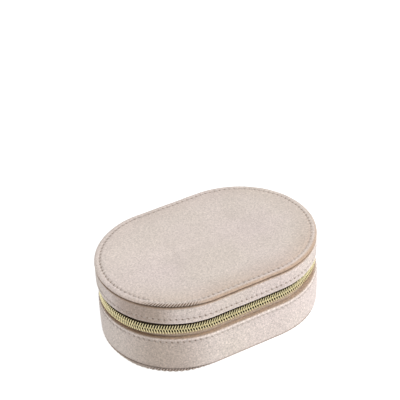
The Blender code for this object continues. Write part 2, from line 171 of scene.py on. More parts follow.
def tube_faces(rings, sides, first=0, flip=False):
    """Faces of a closed tube whose rings of points start at point first."""
    faces = []
    for i in range(rings - 1):
        a, b = first + i * sides, first + (i + 1) * sides
        for j in range(sides):
            k = (j + 1) % sides
            faces.append((a + j, b + j, b + k, a + k) if flip else (a + j, a + k, b + k, b + j))
    start = range(first, first + sides)
    end = range(first + (rings - 1) * sides, first + rings * sides)
    faces.append(tuple(start if flip else reversed(start)))
    faces.append(tuple(reversed(end) if flip else end))
    return faces


def wave(s, scale, seed, height=0.0):
    """A slow, smooth, repeatable wander round the outline, from -1 to 1."""
    turn = 2 * math.pi * s / OUTLINE
    reach = OUTLINE / (2 * math.pi * scale)
    return noise.noise(Vector((math.cos(turn) * reach, math.sin(turn) * reach, seed + height / scale)))


def bell(off, spread):
    """One at no distance, falling off smoothly to nothing."""
    return np.exp(-((off / spread) ** 2))


def near(facing, middle, spread):
    """One where a station faces the middle direction, in degrees, falling off to nothing on either side."""
    return bell((facing - middle + 180) % 360 - 180, spread)


def level(facing, middle, half):
    """One across a stretch of directions, falling steeply to nothing past half of it to each side."""
    off = (facing - middle + 180) % 360 - 180
    return np.exp(-((off / half) ** 4))


def skin(name, profile, finish, seam=None, bumps=(), cap=False, rise=None, turn=None, swell=None, painted_light=None,
         ribs=None):
    """A velvet piece lofted round the outline.

    A profile is a list of (inset, height, warm, painted highlight, painted shade in a crease), which closes on
    itself, or has a cap across the case at each end. For a seam, see press_seam. Bumps are (size, amount,
    seed):
    how far the surface wanders over that size. Rise lifts the piece by inset. The others go by direction. Turn
    says how much of the warm tone shows, swell how far the outer edge stands out, and the one after swell how
    much painted shade (above nothing, tinted tan) or painted highlight (below nothing) the pile gets. Ribs are
    (amount, inset, height, reach): slanted ribs pressed into an edge, with a painted highlight on them.
    """
    stations = np.array([station_at(OUTLINE * k / STATIONS) for k in range(STATIONS)])
    facing = np.degrees(np.arctan2(stations[:, 2], stations[:, 1]))[None, :]
    s = np.arange(STATIONS) * OUTLINE / STATIONS
    profile = np.array([(*point, 0, 0, 0)[:5] for point in profile])
    inset, height, warm, painted_highlight, groove_shade = (profile[:, k:k + 1] for k in range(5))
    out_inset, out_height = outwards(profile[:, :2], cap)
    push = np.zeros((len(profile), STATIONS))
    # Painted shade: the colour darkened in creases, in the needle holes, and where the pile is darkened by
    # direction.
    painted_shade = np.zeros_like(push) + groove_shade
    for size, amount, seed in bumps:
        for k in range(len(profile)):
            push[k] += [amount * wave(at, size, seed, profile[k, 1] + profile[k, 0]) for at in s]
    if seam:
        pressed, holes = press_seam(seam, inset, height, facing, s)
        push -= pressed
        painted_shade = np.maximum(painted_shade, holes)
    rib, run = np.zeros_like(push), s[None, :] + RIB_LEAN * (height + inset)
    if ribs:
        amount, rib_inset, rib_height, rib_reach = ribs
        off = np.hypot(inset - rib_inset, height - rib_height)
        rib = np.minimum(1, 1.5 * bell(off, rib_reach) * amount(facing))
        push -= RIB_DEPTH * rib * (0.5 - 0.5 * np.sin(2 * math.pi * run / RIB_PITCH))
    inset_all = inset + push * out_inset
    if swell:
        inset_all = inset_all - swell(facing) * np.clip(1 - inset / (3 * MM), 0, 1)
    height_all = height + push * out_height
    if rise:
        height_all = height_all + rise(inset)
    reach = RADIUS - inset_all
    verts = np.stack([
        stations[None, :, 0] + reach * stations[None, :, 1],
        reach * stations[None, :, 2],
        height_all,
    ], axis=-1).reshape(-1, 3)
    warm = warm * (turn(facing) if turn else 1.0) + np.zeros_like(push)
    # Painted highlight on the ribs.
    painted_highlight = painted_highlight + 0.4 * rib
    # Painted light by direction: above nothing the pile gets painted shade, tinted tan; below nothing, a
    # painted highlight.
    if painted_light:
        over = painted_light(facing)
        warm = np.maximum(warm, 0.35 * over)
        painted_shade = np.maximum(painted_shade, 0.38 * over)
        painted_highlight = np.maximum(painted_highlight, -over)
    return mesh_object(name, verts, loft_faces(len(profile), cap), finish, {
        "warm": warm, "painted_highlight": painted_highlight, "painted_shade": painted_shade, "rib": rib, "run": run + np.zeros_like(push),
    })


def outwards(line, open_ended):
    """The direction out of a piece at each point of its profile, as a column of insets and one of heights."""
    if open_ended:
        ahead = np.vstack([line[1:], 2 * line[-1:] - line[-2:-1]])
        behind = np.vstack([2 * line[:1] - line[1:2], line[:-1]])
    else:
        ahead = np.roll(line, -1, axis=0)
        behind = np.roll(line, 1, axis=0)
    along = ahead - behind
    along /= np.maximum(np.linalg.norm(along, axis=1, keepdims=True), 1e-9)
    return -along[:, 1:2], along[:, 0:1]


def press_seam(seam, inset, height, facing, s):
    """How deep a row of stitches is pressed in, and how much painted shade its needle holes get, at every point
    of a piece.

    A seam is (inset, height, channel's depth, holes' depth, lean, least show). Its inset, and the least painted
    shade its holes get, may go by direction.
    """
    seam_inset, seam_height, depth, hole_depth, lean, least = seam
    if callable(seam_inset):
        seam_inset = seam_inset(facing)
    if callable(least):
        least = least(facing)
    off = np.hypot(inset - seam_inset, height - seam_height)
    signed = np.where(height - seam_height + (inset - seam_inset) > 0, off, -off)
    phase = (s[None, :] + lean * signed) / STITCH_STEP
    from_hole = (phase - np.round(phase)) * STITCH_STEP
    hole = np.exp(-((from_hole / HOLE_LONG) ** 2) - (off / HOLE_WIDE) ** 2)
    # The pile closes over the holes in some places, and leaves them open in others, so their painted shade
    # comes and goes.
    fade = np.array([0.62 + 0.6 * wave(at, FADE_RUN, 4.4 + seam_height * 50) for at in s])[None, :]
    channel = bell(off, CHANNEL_WIDE)
    puff = bell(off - PUFF_OFF, PUFF_WIDE) * np.cos(2 * math.pi * from_hole / STITCH_STEP)
    pressed = depth * channel + hole_depth * hole + PUFF_DEPTH * puff
    return pressed, hole * np.clip(np.maximum(fade, 0) + least, 0, 1)


def loft_faces(rings, cap):
    """Joins rings of stations, each to the next. The last joins the first, or each of the two has a cap."""
    faces = []
    for k in range(rings - 1 if cap else rings):
        a, b = k * STATIONS, ((k + 1) % rings) * STATIONS
        for i in range(STATIONS):
            j = (i + 1) % STATIONS
            faces.append((a + i, a + j, b + j, b + i))
    if cap:
        faces += cap_faces((rings - 1) * STATIONS, False)
        faces += cap_faces(0, True)
    return faces


def cap_faces(first, flip):
    """Closes the ring that starts at point first, by joining each point to its mirror across the X axis."""
    faces = []
    for i in range(STATIONS // 2):
        ring = [i, i + 1, (STATIONS - i - 1) % STATIONS, (STATIONS - i) % STATIONS]
        kept = [first + k for k in dict.fromkeys(ring)]
        if len(kept) >= 3:
            faces.append(tuple(reversed(kept)) if flip else tuple(kept))
    return faces


# ---------------- materials

def new_material(name):
    """A node material, its tree and its shader."""
    made = bpy.data.materials.new(name)
    made.use_nodes = True
    tree = made.node_tree
    return made, tree, tree.nodes["Principled BSDF"]


def set_inputs(node, values):
    """Sets a node's or a shader's sockets, by name."""
    for name, value in values.items():
        node.inputs[name].default_value = value


def place_on(tree):
    """Where a point lies on its own piece."""
    return tree.nodes.new("ShaderNodeTexCoord").outputs["Object"]


def noise_at(tree, where, scale, detail=2.0, roughness=0.5):
    node = tree.nodes.new("ShaderNodeTexNoise")
    set_inputs(node, {"Scale": scale, "Detail": detail, "Roughness": roughness})
    tree.links.new(where, node.inputs["Vector"])
    return node.outputs["Fac"]


def ramp(tree, value, low, high, to_low=0.0, to_high=1.0):
    """Maps a value's range from low to high onto another, and stops at its ends."""
    node = tree.nodes.new("ShaderNodeMapRange")
    set_inputs(node, {"From Min": low, "From Max": high, "To Min": to_low, "To Max": to_high})
    tree.links.new(value, node.inputs["Value"])
    return node.outputs["Result"]


def maths(tree, operation, a, b=None):
    node = tree.nodes.new("ShaderNodeMath")
    node.operation = operation
    for socket, value in zip(node.inputs, (a, b)):
        if value is None:
            continue
        if isinstance(value, (int, float)):
            socket.default_value = value
        else:
            tree.links.new(value, socket)
    return node.outputs["Value"]


def mix(tree, factor, a, b):
    """Two colours mixed by a factor."""
    node = tree.nodes.new("ShaderNodeMix")
    node.data_type = "RGBA"
    sockets = [s for s in node.inputs if s.enabled]
    for socket, value in zip(sockets, (factor, a, b)):
        if isinstance(value, tuple):
            socket.default_value = (*value, 1.0)
        else:
            tree.links.new(value, socket)
    return next(s for s in node.outputs if s.enabled)


def attribute(tree, name):
    node = tree.nodes.new("ShaderNodeAttribute")
    node.attribute_name = name
    return node.outputs["Fac"]


def stretch(tree, where, scale):
    node = tree.nodes.new("ShaderNodeVectorMath")
    node.operation = "MULTIPLY"
    node.inputs[1].default_value = scale
    tree.links.new(where, node.inputs[0])
    return node.outputs["Vector"]


def bump(tree, shader, height, strength, distance):
    node = tree.nodes.new("ShaderNodeBump")
    set_inputs(node, {"Strength": strength, "Distance": distance})
    tree.links.new(height, node.inputs["Height"])
    tree.links.new(node.outputs["Normal"], shader.inputs["Normal"])


VELVET_FACE = (0.64, 0.56, 0.515)
# Besides the pile's tan roots, this tan also tints painted shade where the pile is darkened by direction.
VELVET_WARM = (0.48, 0.345, 0.25)  # the pile's tan roots
# Painted shade: the colour of a needle hole's bottom, of creases and of the ribs' furrows, where shade falls.
VELVET_SHADE = (0.15, 0.085, 0.045)  # the bottom of a needle hole
PATCHES = 0.03  # how far soft patches lighten or darken the pile


def velvet(name, face, speckle):
    """Short velvet pile: a speckled nap with soft patches, tan where the pile opens on a turned edge, with
    painted highlight and painted shade where its layers ask for them.
    """
    made, tree, shader = new_material(name)
    where = place_on(tree)
    fine = noise_at(tree, where, 1500.0, 2.0, 0.7)
    grain = noise_at(tree, where, 900.0, 3.0, 0.6)
    cloud = noise_at(tree, where, 48.0, 3.0, 0.5)
    hue = noise_at(tree, where, 26.0, 2.0, 0.5)
    tone = ramp(tree, fine, 0.3, 0.7, 1.0 - speckle, 1.0 + speckle)
    for pattern, amount in ((grain, speckle * 0.7), (cloud, PATCHES)):
        tone = maths(tree, "MULTIPLY", tone, ramp(tree, pattern, 0.3, 0.7, 1.0 - amount, 1.0 + amount))
    rose = tuple(c * k for c, k in zip(face, (1.005, 0.99, 1.015)))
    straw = tuple(c * k for c, k in zip(face, (1.0, 1.005, 0.985)))
    colour = mix(tree, ramp(tree, hue, 0.35, 0.65), straw, rose)
    colour = mix(tree, attribute(tree, "warm"), colour, VELVET_WARM)
    # Painted highlight: the face colour lightened.
    colour = mix(tree, attribute(tree, "painted_highlight"), colour, tuple(min(0.92, c * 1.3) for c in face))
    # Painted shade in creases and needle holes.
    colour = mix(tree, attribute(tree, "painted_shade"), colour, VELVET_SHADE)
    # Painted shade in the furrows between the ribs, which also sink them by bump.
    ridge = maths(tree, "SINE", maths(tree, "MULTIPLY", attribute(tree, "run"), 2 * math.pi / RIB_PITCH))
    furrow = maths(tree, "MULTIPLY", ramp(tree, ridge, 0.6, -0.1), attribute(tree, "rib"))
    colour = mix(tree, furrow, colour, tuple(0.8 * c for c in VELVET_SHADE))
    scaled = tree.nodes.new("ShaderNodeVectorMath")
    scaled.operation = "SCALE"
    tree.links.new(colour, scaled.inputs[0])
    tree.links.new(tone, scaled.inputs["Scale"])
    tree.links.new(scaled.outputs["Vector"], shader.inputs["Base Color"])
    set_inputs(shader, {
        "Roughness": 0.9,
        "Specular IOR Level": 0.15,
        "Sheen Weight": 0.3,
        "Sheen Roughness": 0.45,
        "Sheen Tint": (1.0, 0.96, 0.93, 1.0),
    })
    height = maths(tree, "SUBTRACT", maths(tree, "ADD", fine, grain), maths(tree, "MULTIPLY", furrow, 2.0))
    bump(tree, shader, height, 0.5, 0.12 * MM)
    return made


def thread(name, colour, gloss=0.5):
    """Twisted sewing thread."""
    made, tree, shader = new_material(name)
    where = place_on(tree)
    twist = noise_at(tree, where, 2600.0, 1.0)
    dark = tuple(c * 0.7 for c in colour)
    tree.links.new(mix(tree, ramp(tree, twist, 0.35, 0.65), dark, colour), shader.inputs["Base Color"])
    set_inputs(shader, {"Roughness": 0.7, "Specular IOR Level": gloss})
    bump(tree, shader, twist, 0.6, 0.05 * MM)
    return made


def woven_tape(name, colour):
    """Close-woven zip tape with ribs along its length."""
    made, tree, shader = new_material(name)
    where = place_on(tree)
    ribs = noise_at(tree, stretch(tree, where, (500.0, 500.0, 2600.0)), 1.0, 1.0)
    grain = noise_at(tree, where, 2200.0, 2.0)
    dark = tuple(c * 0.72 for c in colour)
    tree.links.new(mix(tree, ramp(tree, ribs, 0.3, 0.7), dark, colour), shader.inputs["Base Color"])
    set_inputs(shader, {"Roughness": 0.85, "Sheen Weight": 0.2})
    bump(tree, shader, maths(tree, "ADD", ribs, grain), 0.6, 0.08 * MM)
    return made


def gold(name, colour, roughness):
    """Pale gold plating with fine wear."""
    made, tree, shader = new_material(name)
    where = place_on(tree)
    wear = noise_at(tree, where, 700.0, 3.0, 0.6)
    dull = tuple(c * 0.8 for c in colour)
    tree.links.new(mix(tree, ramp(tree, wear, 0.3, 0.7), dull, colour), shader.inputs["Base Color"])
    tree.links.new(ramp(tree, wear, 0.3, 0.7, roughness + 0.08, roughness - 0.04), shader.inputs["Roughness"])
    shader.inputs["Metallic"].default_value = 1.0
    bump(tree, shader, wear, 0.15, 0.03 * MM)
    return made


def mirror(name):
    """Silvered glass with a faint haze."""
    made, tree, shader = new_material(name)
    where = place_on(tree)
    haze = noise_at(tree, where, 30.0, 2.0)
    tree.links.new(mix(tree, haze, (0.86, 0.88, 0.88), (0.90, 0.92, 0.92)), shader.inputs["Base Color"])
    tree.links.new(ramp(tree, haze, 0.3, 0.7, 0.01, 0.03), shader.inputs["Roughness"])
    shader.inputs["Metallic"].default_value = 1.0
    return made


cover_velvet = velvet("cover_velvet", VELVET_FACE, 0.18)
wall_velvet = velvet("wall_velvet", VELVET_FACE, 0.27)
seam_thread = thread("seam_thread", (0.60, 0.53, 0.48))
tape_weave = woven_tape("tape_weave", (0.80, 0.64, 0.50))
lining_velvet = velvet("lining_velvet", (0.62, 0.545, 0.50), 0.12)
hinge_velvet = velvet("hinge_velvet", (0.60, 0.52, 0.47), 0.12)
# A near-black cord: painted shade, standing for the shadow in the coil's gaps and under the lid's edge.
cord_painted_shade = thread("cord_painted_shade", (0.022, 0.015, 0.009), 0.05)
grey_board = woven_tape("grey_board", (0.30, 0.28, 0.25))
pale_foam = woven_tape("pale_foam", (0.72, 0.70, 0.64))
coil_gold = gold("coil_gold", (0.83, 0.74, 0.45), 0.25)
metal_gold = gold("metal_gold", (0.83, 0.70, 0.40), 0.2)
glass = mirror("mirror_silver")


# ---------------- how the outside varies round the case
# Facing is a direction in degrees, anticlockwise: 0 is the right-hand end, 180 the left and 270 the front.

def lid_ribs(facing):
    """Where the lid's seam runs out to its rim, and presses it into ribs."""
    return level(facing, 238, 18)


def lid_seam(facing):
    """How far the lid's seam lies in from its edge. It runs out to the rim at the front left."""
    return 3.0 * MM - 1.0 * MM * near(facing, 248, 20)


def lid_seam_shown(facing):
    """How much painted shade the seam's needle holes get. The pile covers them where the seam runs out to the
    rim.
    """
    return 0.2 - 1.2 * lid_ribs(facing) - 0.25 * near(facing, 214, 16) - 0.35 * near(facing, 285, 40)


def lid_rim_warm(facing):
    """How much of its tan roots the pile on the lid's rim shows: most at the front right."""
    shown = 0.45 - 0.4 * near(facing, 168, 46) + 0.15 * near(facing, 228, 24)
    return np.clip(shown + 0.7 * near(facing, 292, 36) - 0.15 * near(facing, 10, 30), 0, 1)


def lid_panel_painted_light(facing):
    """Painted highlight on the lid's top, a little lighter towards the back left."""
    return -0.33 * near(facing, 150, 65)


def lid_band_painted_light(facing):
    """Painted shade on the lid's wall: darkest at the front left, a little at the front."""
    return 0.95 * level(facing, 215, 21) + 0.1 * near(facing, 275, 40)


def lid_band_shown(facing):
    """How much painted shade the needle holes on the lid's wall get: most at the front."""
    return 0.1 + 0.6 * near(facing, 268, 42)


def base_band_painted_light(facing):
    """Painted shade on the base's wall at the front left too, and a little painted highlight at the front
    right.
    """
    return 0.62 * near(facing, 226, 20) + 0.25 * near(facing, 248, 14) - 0.1 * near(facing, 285, 35)


def base_band_shown(facing):
    """How much painted shade the base's needle holes get. The pile half covers them at the front right."""
    return 0.35 - 0.5 * near(facing, 290, 45)


def base_swell(facing):
    """How far the base's wall stands out: a little at the right, and in at the left-hand end."""
    return 0.35 * MM * near(facing, -15, 45) - 0.45 * MM * near(facing, 180, 50)


def base_face(facing):
    """How far in the base's wall lies, for its stitches."""
    return -base_swell(facing)


def bottom_ribs(facing):
    """Where the bottom panel's rim is pressed into ribs."""
    return level(facing, 240, 22)


def bottom_warm(facing):
    """How much of its tan roots the pile on the bottom panel's rim shows: least at the front left."""
    return 1 - near(facing, 232, 45)


def bottom_painted_light(facing):
    """Painted shade on the bottom panel's rim at the front right."""
    return 0.7 * near(facing, 295, 36)


def bottom_swell(facing):
    """How far the bottom panel's rim stands out. It is tucked in along the front and at the left-hand end."""
    proud = 1.2 * level(facing, 229, 27)
    return MM * (proud - 0.5 * near(facing, 272, 20) - 0.45 * near(facing, 172, 22))


def bottom_face(facing):
    """How far in the bottom panel's rim lies, for its stitches."""
    return 0.2 * MM - bottom_swell(facing)


# ---------------- the outside

def lid_panel():
    """The lid's padded top: a flat field, a seam pressed in round it, and a rolled rim outside the seam."""
    low, top = PANEL_BOTTOM, CASE_TOP
    # Points are (inset, height, warm, painted highlight, painted shade): painted shade in the crease under the
    # rim, a little painted highlight on its top.
    rim = [
        (1.9 * MM, low + 0.05 * MM, 1, 0, 1),
        (0.9 * MM, low + 0.12 * MM, 1, 0, 0.5),
        (0.25 * MM, low + 0.3 * MM, 1, 0, 0.4),
        (-0.05 * MM, low + 0.55 * MM, 1, 0, 0.2),
        (-0.12 * MM, low + 1 * MM, 1, 0, 0),
        (0.08 * MM, top - 0.9 * MM, 1, 0, 0),
        (0.7 * MM, top - 0.56 * MM, 0.8, 0, 0),
        (1.6 * MM, top - 0.4 * MM, 0.1, 0.2, 0),
        (2.4 * MM, top - 0.34 * MM, 0.2, 0, 0),
        (3 * MM, top - 0.34 * MM, 0.35, 0, 0),
        (3.6 * MM, top - 0.16 * MM, 0.5, 0, 0),
        (4.6 * MM, top - 0.03 * MM, 0.4, 0, 0),
        (6 * MM, top, 0.32, 0, 0),
    ]
    profile = refine(rounded(rim), 0.3 * MM)
    field = (7.2, 8.6, 10.2, 12, 14, 16.5, 19, 22, 25, 28, 31, 34, 37, 40, 42.5, INNERMOST)
    profile += [(k * MM, top, max(0, 0.32 - (k - 6) * 0.035), 0, 0) for k in field]

    def crown(inset):
        return 0.35 * MM * np.clip((inset - 5 * MM) / (30 * MM), 0, 1) ** 0.8

    seam = (lid_seam, LID_SEAM_Z, 0.16 * MM, 0.42 * MM, 0.35, lid_seam_shown)
    bumps = ((9 * MM, 0.10 * MM, 3.1), (28 * MM, 0.10 * MM, 8.2))
    ribs = (lid_ribs, 0.3 * MM, low + 0.9 * MM, 1.5 * MM)
    piece = skin("lid_panel", profile, cover_velvet, seam, bumps, cap=True, rise=crown, turn=lid_rim_warm,
                 painted_light=lid_panel_painted_light, ribs=ribs)
    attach(piece, "lid")
    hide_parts("lid_top_cover")


def band(name, low, high, seam_height, body, node, bulge, low_edge, high_edge, shown, painted_light, swell=None):
    """A wall's velvet, with its top and bottom edges turned in over the board behind it.

    Each edge is (radius, painted highlight, warm ledge, painted shade in the crease): the painted highlight on
    its corner, and what shows past it. The upper one adds painted brown shade on its corner, where it meets the
    crease above.
    """
    ledge = 3.2 * MM
    thick = 0.8 * MM
    middle = (low + high) / 2
    low_round, low_highlight, low_warm, low_groove_shade = low_edge
    high_round, high_highlight, high_warm, high_groove_shade, high_corner_shade = high_edge
    # Points are (inset, height, warm, painted highlight, painted shade): painted shade where the edges tuck in,
    # a painted highlight on their corners.
    outer = [
        (ledge, low + 0.12 * MM, low_warm, 0, low_groove_shade),
        (low_round * 1.6, low + 0.06 * MM, low_warm, 0, low_groove_shade),
        (low_round * 0.8, low + 0.02 * MM, 0, low_highlight, 0),
        (low_round * 0.25, low + low_round * 0.2, 0, low_highlight, 0),
        (0, low + low_round * 0.7, 0, low_highlight, 0),
        (0, low + low_round * 1.1, 0, 0, 0),
        (-bulge * 0.7, low + (middle - low) * 0.45, 0, 0, 0),
        (-bulge, middle, 0, 0, 0),
        (-bulge * 0.7, high - (high - middle) * 0.45, 0, 0, 0),
        (0, high - high_round * 1.1, 0, 0, 0),
        (0, high - high_round * 0.7, high_corner_shade, high_highlight, 0),
        (high_round * 0.25, high - high_round * 0.2, high_corner_shade, high_highlight, high_corner_shade * 0.5),
        (high_round * 1.2, high - 0.02 * MM, high_warm, 0, high_groove_shade),
        (ledge, high - 0.12 * MM, high_warm, 0, high_groove_shade),
    ]
    inner = [
        (ledge, high - thick, 1, 0, 0.3),
        (thick, high - thick, 1, 0, 0.3),
        (thick, low + thick, 1, 0, 0.3),
        (ledge, low + thick, 1, 0, 0.3),
    ]
    profile = refine(rounded(outer), 0.36 * MM) + inner
    seam = (0.0, seam_height, 0.10 * MM, 0.45 * MM, 0.5, shown)
    bumps = ((7 * MM, 0.09 * MM, 1.7 + low * 90), (22 * MM, 0.10 * MM, 5.3 + low * 90))
    piece = skin(name, profile, wall_velvet, seam, bumps, swell=swell, painted_light=painted_light)
    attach(piece, body)
    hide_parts(node)


def stitch_row(name, inset, height, tilt, body, lift, covered=None):
    """Lockstitches: a slanted thread between each two needle holes, sunk at both ends.

    Tilt is the surface's slope: 0 on a wall. Covered says where, by direction, the pile hides the row.
    """
    rings, sides = 9, 8
    half_long = 0.38  # of the step from one stitch to the next
    sunk, slant, radius = 0.34 * MM, 0.16 * MM, 0.21 * MM
    flat, slope = math.cos(tilt), math.sin(tilt)
    verts, faces = [], []
    for k in range(STITCHES):
        middle = (k + 0.5) * STITCH_STEP
        _, dx, dy = station_at(middle)
        if covered and covered(facing_of(dx, dy)) > 0.5:
            continue
        first = len(verts)
        for i in range(rings):
            share = i / (rings - 1) * 2 - 1
            sink = -sunk * share ** 4
            cross = slant * share
            thick = radius * math.sqrt(max(0.0, 1 - share ** 6)) + 0.02 * MM
            centre, dx, dy = station_at(middle + share * STITCH_STEP * half_long)
            at = inset(facing_of(dx, dy)) if callable(inset) else inset
            for j in range(sides):
                turn = 2 * math.pi * j / sides
                out = lift + sink + thick * math.cos(turn)
                over = cross + thick * math.sin(turn)
                at_inset = at - out * flat + over * slope
                at_height = height + out * slope + over * flat
                reach = RADIUS - at_inset
                verts.append((centre + reach * dx, reach * dy, at_height))
        faces += tube_faces(rings, sides, first)
    piece = mesh_object(name, verts, faces, seam_thread)
    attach(piece, body)


def bottom_panel():
    """The panel under the base, whose rim stands a little proud at the front left."""
    low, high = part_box("bottom_cover")
    edge = RADIUS - high.y
    half_way = (low.z + high.z) / 2
    # Points are (inset, height, warm, painted highlight, painted shade): painted shade in the creases above and
    # below the rim.
    rim = rounded([
        (6 * MM, high.z - 0.02 * MM, 1, 0, 0.3),
        (edge + 0.9 * MM, high.z, 1, 0, 0.3),
        (edge + 0.05 * MM, high.z - 0.14 * MM, 0.9, 0, 0.15),
        (edge - 0.15 * MM, half_way + 0.2 * MM, 0.9, 0, 0),
        (edge - 0.15 * MM, half_way - 0.2 * MM, 0.9, 0, 0),
        (edge + 0.1 * MM, low.z + 0.15 * MM, 0.9, 0, 0.2),
        (edge + 0.9 * MM, low.z, 0.8, 0, 0.2),
        (6 * MM, low.z, 0, 0, 0),
    ])
    profile = [(k * MM, high.z - 0.02 * MM, 1) for k in (INNERMOST, 40, 30, 20, 10)] + refine(rim, 0.3 * MM)
    profile += [(k * MM, low.z, 0) for k in (10, 16, 22, 28, 34, 40, INNERMOST)]
    ribs = (bottom_ribs, edge - 0.1 * MM, half_way + 0.1 * MM, 0.9 * MM)
    piece = skin("bottom_panel", profile[::-1], wall_velvet, cap=True, turn=bottom_warm, swell=bottom_swell,
                 painted_light=bottom_painted_light, ribs=ribs)
    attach(piece, "base")
    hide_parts("bottom_cover")


# ---------------- the inside

def lining_ring(name, profile, body, node, seam=None):
    """A lining piece lofted round the case."""
    piece = skin(name, profile, lining_velvet, seam, ((8 * MM, 0.06 * MM, 2.2), (20 * MM, 0.06 * MM, 6.1)))
    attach(piece, body)
    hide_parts(node)


def linings():
    """The collar's and the base's lining, the lid's two, and the velvet frame of its mirror."""
    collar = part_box("base_collar_board")[1]
    low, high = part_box("base_wall_lining")
    outer = RADIUS - collar.y - 0.3 * MM
    inner = outer + 2.7 * MM
    row_height = high.z - 2.6 * MM
    # Here and below, points are (inset, height, warm, painted highlight, painted shade): painted highlights on
    # top corners, painted shade low down.
    lining_ring("base_lining", refine(rounded([
        (outer + 0.1 * MM, low.z + 9 * MM, 0.3),
        (outer, high.z - 6 * MM, 0),
        (outer, high.z - 1.2 * MM, 0),
        (outer + 0.45 * MM, high.z, 0, 0.5),
        (inner - 0.45 * MM, high.z, 0, 0.5),
        (inner, high.z - 1.2 * MM, 0),
        (inner, high.z - 6 * MM, 0),
        (inner, low.z + 9 * MM, 0),
        (inner, low.z, 0, 0, 0.4),
        (inner - 0.6 * MM, low.z, 0),
        (inner - 0.6 * MM, high.z - 1.1 * MM, 0),
        (outer + 0.25 * MM, high.z - 1.1 * MM, 0),
        (outer + 0.28 * MM, low.z + 9 * MM, 0),
    ]), 1.2 * MM), "base", "base_wall_lining", (inner, row_height, 0.1 * MM, 0.3 * MM, 0.4, 0.2))
    stitch_row("base_lining_stitches", inner, row_height, math.pi, "base", -0.06 * MM)
    low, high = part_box("lid_wall_lining")
    outer = RADIUS - high.y
    inner = outer + 0.8 * MM
    lining_ring("lid_lining", refine(rounded([
        (outer, high.z, 0),
        (outer, low.z + 0.7 * MM, 0.5),
        (outer + 0.2 * MM, low.z, 0.3, 0.3),
        (inner - 0.2 * MM, low.z, 0, 0.5),
        (inner, low.z + 0.7 * MM, 0),
        (inner, high.z - 2 * MM, 0),
        (inner, high.z, 0, 0, 0.5),
    ]), 0.6 * MM), "lid", "lid_wall_lining")
    low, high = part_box("lid_lining_panel")
    edge = RADIUS - high.y
    rim = rounded([
        (edge + 3 * MM, high.z - 0.1 * MM, 0),
        (edge + 0.4 * MM, high.z - 0.2 * MM, 0, 0, 0.5),
        (edge, (low.z + high.z) / 2, 0, 0, 0.4),
        (edge + 0.5 * MM, low.z + 0.3 * MM, 0, 0.2),
        (edge + 1.8 * MM, low.z, 0),
        (edge + 5 * MM, low.z, 0),
    ])
    profile = [(k * MM, high.z - 0.1 * MM, 0) for k in (INNERMOST, 36, 28, 20, 12)] + refine(rim, 0.4 * MM)
    profile += [(k * MM, low.z, 0) for k in (12, 16, 20, 28, 36, INNERMOST)]
    panel = skin("lid_panel_lining", profile[::-1], lining_velvet, cap=True)
    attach(panel, "lid")
    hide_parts("lid_lining_panel")
    low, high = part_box("mirror_frame")
    outer = RADIUS - high.y
    lining_ring("mirror_surround", refine(rounded([
        (outer, high.z, 0, 0, 0.4),
        (outer, low.z + 0.8 * MM, 0),
        (outer + 0.9 * MM, low.z, 0, 0.4),
        (outer + 3 * MM, low.z, 0, 0.2),
        (outer + 4 * MM, low.z + 0.25 * MM, 0, 0, 0.2),
        (outer + 4 * MM, low.z + 0.5 * MM, 0),
        (outer + 2.2 * MM, low.z + 0.5 * MM, 0),
        (outer + 2.2 * MM, high.z, 0),
    ]), 0.5 * MM), "lid", "mirror_frame")


def covered_board(name, node, body):
    """A board wrapped in lining, which rounds its edges and has a painted highlight along the top."""
    low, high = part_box(node)
    size = high - low
    steps = [max(2, round(side / (0.7 * MM))) for side in size]
    verts, faces, index = [], [], {}

    def point(key):
        if key not in index:
            index[key] = len(verts)
            verts.append([low[n] + size[n] * key[n] / steps[n] for n in range(3)])
        return index[key]

    def side(fixed, at, flip):
        """One side of the box, in small squares."""
        u, v = (n for n in range(3) if n != fixed)
        for i in range(steps[u]):
            for j in range(steps[v]):
                ring = []
                for a, b in ((i, j), (i, j + 1), (i + 1, j + 1), (i + 1, j)):
                    key = [at, at, at]
                    key[u], key[v] = a, b
                    ring.append(point(tuple(key)))
                faces.append(tuple([ring[0], *reversed(ring[1:])] if flip else ring))

    for fixed in range(3):
        side(fixed, 0, fixed == 1)
        side(fixed, steps[fixed], fixed != 1)
    points = np.array(verts)
    middle = np.array((high + low) / 2)
    half = np.array(size) / 2
    soft = 0.95 * MM  # the edges' radius
    core = np.clip(points - middle, -(half - soft), half - soft)
    away = points - middle - core
    length = np.linalg.norm(away, axis=1, keepdims=True)
    points = middle + core + away / np.maximum(length, 1e-9) * np.minimum(length, soft)
    wander, per_metre = 0.05 * MM, 160
    for n, point_now in enumerate(points):
        out = away[n] / max(length[n][0], 1e-9)
        points[n] += out * wander * noise.noise(Vector(point_now) * per_metre)
    # Painted highlight: the colour lightened along the top edges, over this reach down.
    lit = 1.2 * MM  # how far down from the top the light edge reaches
    painted_highlight = np.clip((points[:, 2] - high.z + lit) / lit, 0, 1) * 0.5
    piece = mesh_object(name, points, faces, lining_velvet, {
        "warm": np.zeros(len(points)), "painted_highlight": painted_highlight, "painted_shade": np.zeros(len(points)),
    })
    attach(piece, body)
    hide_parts(node)


def apply_modifiers(obj):
    """Makes an object's mesh what its modifiers show, and removes them."""
    depsgraph = bpy.context.evaluated_depsgraph_get()
    done = bpy.data.meshes.new_from_object(obj.evaluated_get(depsgraph))
    old = obj.data
    obj.modifiers.clear()
    obj.data = done
    done.name = obj.name
    bpy.data.meshes.remove(old)


